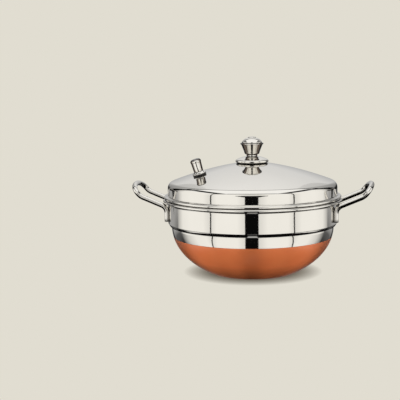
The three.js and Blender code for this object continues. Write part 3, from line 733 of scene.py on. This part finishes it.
def makePlate(tier):
    p = plate
    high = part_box(f"{tier}_idli_plate")[1]
    reach, top = high.y / mm, high.z / mm
    bm = bmesh.new()
    level = Matrix.Translation((0, 0, high.z))
    web = reach - p["edgeRound"] - p["edgeEase"]
    bmesh.ops.create_circle(bm, segments=p["around"], radius=web * mm, matrix=level)
    edges = bm.edges[:]
    bmesh.ops.create_circle(bm, segments=p["rodSides"], radius=p["rodHole"] * mm, matrix=level)
    for place in cupPlaces(tier):
        bmesh.ops.create_circle(bm, segments=p["cupSides"], radius=cup["hole"] * mm, matrix=place)
    bmesh.ops.triangle_fill(bm, edges=bm.edges[:], use_beauty=True)
    # the rim turns down to a lip
    outline = arc(reach - p["edgeRound"], top - p["edgeRound"], p["edgeRound"], 90, 0, steps=10)
    outline += [(reach, top - p["edgeRound"] - p["lipEase"]), (reach, top - p["lip"])]
    before = (web, top)
    for r, z in outline:
        verts, edges = grow(bm, edges)
        bmesh.ops.scale(bm, vec=(r / before[0], r / before[0], 1), verts=verts)
        bmesh.ops.translate(bm, vec=(0, 0, (z - before[1]) * mm), verts=verts)
        before = (r, z)
    bmesh.ops.recalc_face_normals(bm, faces=bm.faces)
    if max(bm.faces, key=lambda f: f.calc_area()).normal.z < 0:
        bmesh.ops.reverse_faces(bm, faces=bm.faces)
    bmesh.ops.solidify(bm, geom=bm.faces[:], thickness=p["sheet"] * mm)
    addPiece(f"{tier}PlateSheet", meshOf("plate", bm), "rack", "satin_steel", satinSteel,
             f"{tier}_idli_plate")


def cupMesh():  # a shallow part of a ball, with a flange that lies on the plate at height 0
    c = cup
    top = c["seat"] + c["sheet"]
    middle = top + (c["mouth"] ** 2 - c["depth"] ** 2) / (2 * c["depth"])
    inner = middle - top + c["depth"]
    outer = inner + c["sheet"]
    brim = math.acos((c["mouth"] + c["brimReach"]) / (inner + c["mouthRound"]))
    brimFoot = (inner * math.cos(brim) - c["brimPull"], middle - inner * math.sin(brim))
    seatAngle = -math.degrees(math.asin((middle - c["seat"]) / outer))
    edge = c["sheet"] / 2
    outline = [(0, middle - outer)] + arc(0, middle, outer, c["polar"], seatAngle, steps=24)
    outline += arc(c["flange"] - edge, c["seat"] + edge, edge, -90, 90, steps=8)
    outline += bend((c["mouth"] + c["brimFrom"], top), (c["mouth"] + c["brimPull"], top), brimFoot, steps=8)
    outline += arc(0, middle, inner, -math.degrees(brim) - c["brimEase"], c["polar"], steps=24)
    outline += [(0, middle - inner)]
    drills = bmesh.new()
    for i in range(c["steamHoles"]):
        turn = Matrix.Rotation(math.tau * i / c["steamHoles"], 4, "Z")
        place = turn @ Matrix.Translation((c["steamRing"] * mm, 0, 0))
        addDrill(drills, c["steamHole"], 3 * c["depth"], c["drillSides"], place)
    return carved(meshOf("cup", turned(outline, c["around"])), meshOf("drills", drills), "DIFFERENCE")


def makeRack():
    r = rack
    pressed = cupMesh()
    for tier in ("lower", "upper"):
        makePlate(tier)
        for i, place in enumerate(cupPlaces(tier), 1):
            mesh = pressed.copy()
            mesh.transform(place)
            addPiece(f"{tier}Cup{i}", mesh, "rack", "satin_steel", satinSteel, f"{tier}_idli_cup_{i}")
    bpy.data.meshes.remove(pressed)

    outline = ringOutline(0, r["rod"], *boxZ("centre_rod"), r["rodEdge"])
    addTurned("rackRod", outline, r["rodAround"], "rack", "satin_steel", satinSteel, "centre_rod")
    rings = {"spacer_sleeve": ("rackSleeve", r["sleeve"]), "rod_washer": ("rodWasherRing", r["washer"]),
             "top_washer": ("topWasherRing", r["washer"])}
    hole = plate["rodHole"]
    for node, (name, radius) in rings.items():
        outline = ringOutline(hole, radius, *boxZ(node), r["ringEdge"])
        addTurned(name, outline, r["ringAround"], "rack", "satin_steel", satinSteel, node)
    nut = hexNut(r["nutFlats"], hole, *boxZ("rod_nut"))
    addPiece("rodHexNut", nut, "rack", "satin_steel", satinSteel, "rod_nut")
    makeLiftingRing(hole)


def makeLiftingRing(hole):
    r = rack
    low = boxZ("lifting_eye")[0]
    bore, top, edge = low + r["bossBore"], low + r["bossHeight"], r["bossEdge"]
    outline = [(0, bore), (hole, bore), (hole, low), (r["boss"] - edge, low), (r["boss"], low + edge)]
    outline += arc(r["boss"] - r["eyeRod"], top - r["eyeRod"], r["eyeRod"], 0, 90, steps=8) + [(0, top)]
    boss = meshOf("boss", turned(outline, r["bossAround"]))
    middle = Vector((0, 0, top + r["eye"] - r["eyeRod"] / 2)) * mm
    upright = Matrix.Rotation(math.pi / 2, 4, "X")
    bm = bmesh.new()
    bmesh.ops.create_circle(bm, segments=r["eyeSides"], radius=r["eyeRod"] * mm,
                            matrix=Matrix.Translation(middle + Vector((r["eye"] * mm, 0, 0))) @ upright)
    bmesh.ops.spin(bm, geom=bm.verts[:] + bm.edges[:], cent=middle, axis=(0, 0, 1), angle=math.tau,
                   steps=r["eyeSteps"], use_merge=True)
    bmesh.ops.rotate(bm, verts=bm.verts[:], cent=middle, matrix=upright)
    cleanUp(bm)
    eye = carved(boss, meshOf("eye", bm), "UNION")
    addPiece("liftingRing", eye, "rack", "polished_steel", mirrorSteel, "lifting_eye")


makeRack()
print("rack made")


# Studio: a camera at the photograph's angle, a pale floor, soft light and a tent of light panels

shot = dict(
    distance=1.4, azimuth=4.5, elevation=9.37, aimHeight=0.06,
    imageSize=400, focalPixels=938.1, targetX=252.3, targetY=231.3,  # where the aim lands, in pixels
    roll=0.82, sensor=36, clipStart=0.05, clipEnd=50,
)


def makeCamera():
    s = shot
    turn, lift = math.radians(s["azimuth"]), math.radians(s["elevation"])
    back = Vector((math.sin(turn) * math.cos(lift), -math.cos(turn) * math.cos(lift), math.sin(lift)))
    aim = Vector((0, 0, s["aimHeight"]))
    right = Vector((math.cos(turn), math.sin(turn), 0))
    up = back.cross(right)
    pixel = s["distance"] / s["focalPixels"]
    middle = s["imageSize"] / 2
    aside = (s["targetX"] - middle) * pixel
    drop = (s["targetY"] - middle) * pixel
    data = bpy.data.cameras.new("photoCamera")
    data.sensor_width = s["sensor"]
    data.lens = s["focalPixels"] / s["imageSize"] * s["sensor"]
    data.clip_start = s["clipStart"]
    data.clip_end = s["clipEnd"]
    camera = newObject("photoCamera", data)
    camera.location = aim + back * s["distance"]
    look = (aim - right * aside + up * drop - camera.location).to_track_quat("-Z", "Y")
    camera.rotation_mode = "QUATERNION"
    camera.rotation_quaternion = look @ Quaternion((0, 0, 1), math.radians(-s["roll"]))
    scene.camera = camera


studio = dict(
    floorColour="#E1DDD1", floorSize=8,
    shadowColour="#4A3D2A", shadowReach=0.021, shadowFade=0.3, shadowDepth=0.75, shadowSamples=16,
    # the light grows from below to above between two slopes, where -1 is straight down and 1 straight up
    lightColour="#FFFDF9", lightBelow=0, lightAbove=2, lightFrom=-0.7, lightTo=0.4,
)


def makeFloor():
    # a matt pale board, which shows its colour as it is written, with a soft shadow where the pot is near it
    s = studio
    bm = bmesh.new()
    bmesh.ops.create_grid(bm, x_segments=1, y_segments=1, size=s["floorSize"])
    floor = newObject("paleFloor", meshOf("paleFloor", bm))
    material, tree = newMaterial("mattPaleBoard")
    spot = addNode(tree, "ShaderNodeTexCoord").outputs["Object"]
    reach = addNode(tree, "ShaderNodeVectorMath", {0: spot}, operation="LENGTH")
    far = addNode(tree, "ShaderNodeMapRange", {
        "Value": reach.outputs["Value"], "From Min": s["shadowReach"],
        "From Max": s["shadowReach"] + s["shadowFade"]}, interpolation_type="SMOOTHSTEP")
    clear = addNode(tree, "ShaderNodeAmbientOcclusion", {"Distance": s["shadowReach"]},
                    samples=s["shadowSamples"])
    shade = maths(tree, "POWER", clear.outputs["AO"], s["shadowDepth"])
    level = maths(tree, "MAXIMUM", shade, far.outputs["Result"])
    tone = blend(tree, level, linear(s["shadowColour"]), linear(s["floorColour"]))
    board = addNode(tree, "ShaderNodeEmission", {"Color": tone})
    setSurface(tree, board.outputs["Emission"])
    floor.data.materials.append(material)
    floor.visible_glossy = False
    floor.visible_diffuse = False


def makeWorld():
    s = studio
    world = bpy.data.worlds.new("studioWorld")
    world.use_nodes = True
    tree = world.node_tree
    tree.nodes.clear()
    rays = addNode(tree, "ShaderNodeLightPath").outputs
    seen = rays["Is Camera Ray"]
    for ray in ("Is Glossy Ray", "Is Transmission Ray"):
        seen = maths(tree, "MAXIMUM", seen, rays[ray])
    heading = addNode(tree, "ShaderNodeTexCoord").outputs["Generated"]
    level = addNode(tree, "ShaderNodeMapRange", {
        "Value": heightOf(tree, heading), "From Min": s["lightFrom"], "From Max": s["lightTo"],
        "To Min": s["lightBelow"], "To Max": s["lightAbove"]})
    light = addNode(tree, "ShaderNodeBackground", {"Color": linear(s["lightColour"]),
                                                   "Strength": level.outputs["Result"]})
    backdrop = addNode(tree, "ShaderNodeBackground", {"Color": linear(s["floorColour"]), "Strength": 1})
    mix = addNode(tree, "ShaderNodeMixShader", {0: seen, 1: light.outputs["Background"],
                                                2: backdrop.outputs["Background"]})
    addNode(tree, "ShaderNodeOutputWorld", {"Surface": mix.outputs["Shader"]})
    scene.world = world


# The tent is a box of panels that only the metal sees. Its lengths run from the middle of the pot, and a tone
# of 1 is white. A table of tones holds shares of a panel's width or height, each with the tone there.
even = ((0, 1), (1, 1))
edgeTone, midTone, roofTone = 0.9, 1.12, 1.15
tent = dict(
    middle=0.12, front=2.0, side=2.95, back=1.53, top=2.0, bottom=4.28, fold=-0.33, lean=0.28,
    column=0.5, wallLine=-0.2, sideLine=-0.7, gap=0.02, black=0.004, cream=(1, 0.99, 0.96),
    frontTones=((0, edgeTone), (0.14, midTone), (0.38, midTone), (0.455, edgeTone),
                (0.545, edgeTone), (0.62, midTone), (0.86, midTone), (1, edgeTone)),
    sideTones=((0, edgeTone), (0.22, midTone), (0.57, midTone), (0.8, 1.05), (0.9, 0.8), (1, 0.5)),
    footTones=((0, edgeTone), (0.22, midTone), (0.5, 1.1), (0.75, 0.8), (0.9, 0.4), (1, 0.15)),
    columnTones=((-4.28, 0.1), (-1.2, 0.15), (-0.7, 0.3), (-0.25, 0.34),  # heights in place of shares
                 (0.3, 0.62), (0.62, 0.79), (2, 1.03)),
    upperAcross=((0, 1), (0.14, 0.6), (1, 0.5)),
    upperRise=((0, 0.02), (0.1, 0.02), (0.19, 0.5), (0.32, 0.6), (1, 0.9)),
    lowerAcross=((0, 0.1), (0.1, 0.1), (0.2, 1), (0.8, 1), (1, 1.5)),
    lowerRise=((0, 0.03), (0.75, 0.05), (0.9, 0.12), (0.955, 0.4), (1, 0.42)),
    slot=0.30, slotShift=-0.03, slotTop=0.54, bar=((0.75, 0.3), (0.6, 0.45), (0.48, 0.6), (0.4, 0.72)),
    seam=0.2, beam=0.35, backBeam=0.55, roofStrip=(1.4, 2.6), roofStripEnd=0.9,
    poleTop=(1.9, 0.63, 1.8), poleFoot=(1.51, 1.5, -0.24), poleWidth=0.45,
    tableDrop=1.0, tableReach=1.2, tableSides=48, tableBack=1.4, tableBackFrom=0.6,
    glint=0.08, glintFrom=-0.6, glintLength=0.4, glintTone=0.5,
    flagReach=0.1, flagLow=0.058, flagHigh=0.1, flagHalf=13, flagDepth=1.5,
)
dark = ((0, tent["black"]), (1, tent["black"]))


def newPanels():
    bm = bmesh.new()
    bm.verts.layers.float_color.new("glow")
    return bm


def tentPanel(bm, corner, across, rise, acrossTones=even, riseTones=even, tint=(1, 1, 1)):
    corner, across, rise = Vector(corner), Vector(across), Vector(rise)
    glow = bm.verts.layers.float_color.get("glow")
    chain = [bm.verts.new(corner + across * share) for share, _ in acrossTones]
    edges = [bm.edges.new(pair) for pair in zip(chain, chain[1:])]
    height = 0
    for level, (share, riseTone) in enumerate(riseTones):
        if level:
            verts, edges = grow(bm, edges)
            bmesh.ops.translate(bm, vec=rise * (share - height), verts=verts)
            chain = sorted(verts, key=lambda v: (v.co - corner).dot(across))
            height = share
        for vert, (_, acrossTone) in zip(chain, acrossTones):
            vert[glow] = [acrossTone * riseTone * channel for channel in tint] + [1]


def frontSheets():  # the front is upright down to its fold, and leans in towards the table below it
    t = tent
    depth = t["fold"] + t["bottom"]
    return (0, 0, t["top"] - t["fold"]), (0, t["lean"] * depth, -depth)


def hangCloth(bm):
    t = tent
    f, s, b, top, low = t["front"], t["side"], t["back"], t["top"], -t["bottom"]
    for sheet in frontSheets():
        tentPanel(bm, (-s, -f, t["fold"]), (2 * s, 0, 0), sheet, t["frontTones"], tint=t["cream"])
    line, deep = t["sideLine"], (0, f + b, 0)
    for x in (-s, s):
        tentPanel(bm, (x, -f, line), deep, (0, 0, top - line), t["sideTones"], tint=t["cream"])
        tentPanel(bm, (x, -f, low), deep, (0, 0, line - low), t["footTones"], tint=t["cream"])
    # the back is a light column behind the pot, between dark sides that are grey at the wall's level
    half, line, tall = t["column"], t["wallLine"], top - low
    columnTones = [((z - low) / tall, tone) for z, tone in t["columnTones"]]
    tentPanel(bm, (-half, b, low), (2 * half, 0, 0), (0, 0, tall), even, columnTones)
    for side in (-1, 1):
        across = (side * (s - half), 0, 0)
        tentPanel(bm, (side * half, b, line), across, (0, 0, top - line),
                  t["upperAcross"], t["upperRise"])
        tentPanel(bm, (side * half, b, low), across, (0, 0, line - low),
                  t["lowerAcross"], t["lowerRise"])
    tentPanel(bm, (-s, -f, top), (2 * s, 0, 0), deep, ((0, roofTone), (1, roofTone)))


def hangDarkParts(bm):
    # the opening that the camera looks through, with a bar across its top, and the seams
    t = tent
    f, s, b, top, fold = t["front"], t["side"], t["back"], t["top"], t["fold"]
    near, under = -f + t["gap"], top - t["gap"]
    sheets = frontSheets()
    shift, slot, slotTop = t["slotShift"], t["slot"], t["slotTop"]
    for rise in ((0, 0, slotTop - fold), sheets[1]):
        tentPanel(bm, (shift - slot, near, fold), (2 * slot, 0, 0), rise, dark)
    for half, drop in t["bar"]:
        tentPanel(bm, (shift - half, near, slotTop - drop), (2 * half, 0, 0), (0, 0, drop), dark)
    for x in (-s, s - t["seam"]):
        for sheet in sheets:
            tentPanel(bm, (x, near, fold), (t["seam"], 0, 0), sheet, dark)

    # beams and strips under the roof, whose soft sides fade into the cloth, and two poles
    softEdge = ((0, 1), (0.5, t["black"]), (1, t["black"]))
    softBand = ((0, midTone), (0.2, t["black"]), (0.8, t["black"]), (1, midTone))
    beamTones = ((0, midTone), (1, midTone))
    wide, beam, backBeam = (2 * s, 0, 0), t["beam"], t["backBeam"]
    tentPanel(bm, (-s, near, top - beam), wide, (0, 0, beam), beamTones, softEdge)
    tentPanel(bm, (-s, beam - f, under), wide, (0, -beam, 0), beamTones, softEdge)
    tentPanel(bm, (-s, b - backBeam, under), wide, (0, backBeam, 0), beamTones, softEdge)
    inner, outer = t["roofStrip"]
    for side in (-1, 1):
        tentPanel(bm, (side * inner, -f, under), (side * (outer - inner), 0, 0),
                  (0, f + t["roofStripEnd"], 0), softBand)
        mirrored = Vector((side, 1, 1))
        poleTop, poleFoot = Vector(t["poleTop"]) * mirrored, Vector(t["poleFoot"]) * mirrored
        pole = poleFoot - poleTop
        across = pole.cross(poleTop).normalized() * t["poleWidth"]
        tentPanel(bm, poleTop - across / 2, across, pole, dark)

    # the table that the tent stands on, with a light patch in line with the opening
    table = bmesh.ops.create_circle(bm, cap_ends=True, segments=t["tableSides"], radius=t["tableReach"],
                                    matrix=Matrix.Translation((0, 0, -t["tableDrop"])))
    glow = bm.verts.layers.float_color.get("glow")
    for vert in table["verts"]:
        vert[glow] = [t["black"]] * 3 + [1]
    tentPanel(bm, (-t["tableBack"], t["tableBackFrom"], -t["tableDrop"]), (2 * t["tableBack"], 0, 0),
              (0, b - t["tableBackFrom"], 0), dark)
    tentPanel(bm, (-t["glint"], t["glintFrom"], t["gap"] - t["tableDrop"]), (2 * t["glint"], 0, 0),
              (0, t["glintLength"], 0), ((0, t["glintTone"]), (1, t["glintTone"])))


def glowShader(tree):  # cloth that shines with the tone of its panel
    glow = addNode(tree, "ShaderNodeAttribute", attribute_name="glow")
    return addNode(tree, "ShaderNodeEmission", {"Color": glow.outputs["Color"]}).outputs["Emission"]


def makeTent():
    bm = newPanels()
    hangCloth(bm)
    hangDarkParts(bm)
    material, tree = newMaterial("litTentCloth")
    setSurface(tree, glowShader(tree))
    hangPanels("lightTent", bm, material)


def makeFlag():  # a small black flag by the knob, which shows only where one mirror is seen in another
    t = tent
    bm = newPanels()
    half = t["flagReach"] * math.tan(math.radians(t["flagHalf"]))
    tentPanel(bm, (-half, -t["flagReach"], t["flagLow"]), (2 * half, 0, 0),
              (0, 0, t["flagHigh"] - t["flagLow"]), dark)
    material, tree = newMaterial("blackFlagCloth")
    depth = addNode(tree, "ShaderNodeLightPath").outputs["Ray Depth"]
    twice = maths(tree, "GREATER_THAN", depth, t["flagDepth"])
    clear = addNode(tree, "ShaderNodeBsdfTransparent")
    shown = addNode(tree, "ShaderNodeMixShader", {0: twice, 1: clear.outputs["BSDF"],
                                                  2: glowShader(tree)})
    setSurface(tree, shown.outputs["Shader"])
    hangPanels("blackFlag", bm, material)


def hangPanels(name, bm, material):  # turns the panels to the camera, and shows them to the metal alone
    turn = Matrix.Rotation(math.radians(shot["azimuth"]), 4, "Z")
    bmesh.ops.transform(bm, matrix=Matrix.Translation((0, 0, tent["middle"])) @ turn, verts=bm.verts[:])
    panels = newObject(name, meshOf(name, bm))
    material.cycles.emission_sampling = "NONE"
    panels.data.materials.append(material)
    for ray in ("camera", "diffuse", "shadow", "transmission", "volume_scatter"):
        setattr(panels, f"visible_{ray}", False)


makeCamera()
makeFloor()
makeWorld()
makeTent()
makeFlag()
scene.view_settings.view_transform = "Standard"
print("studio made")
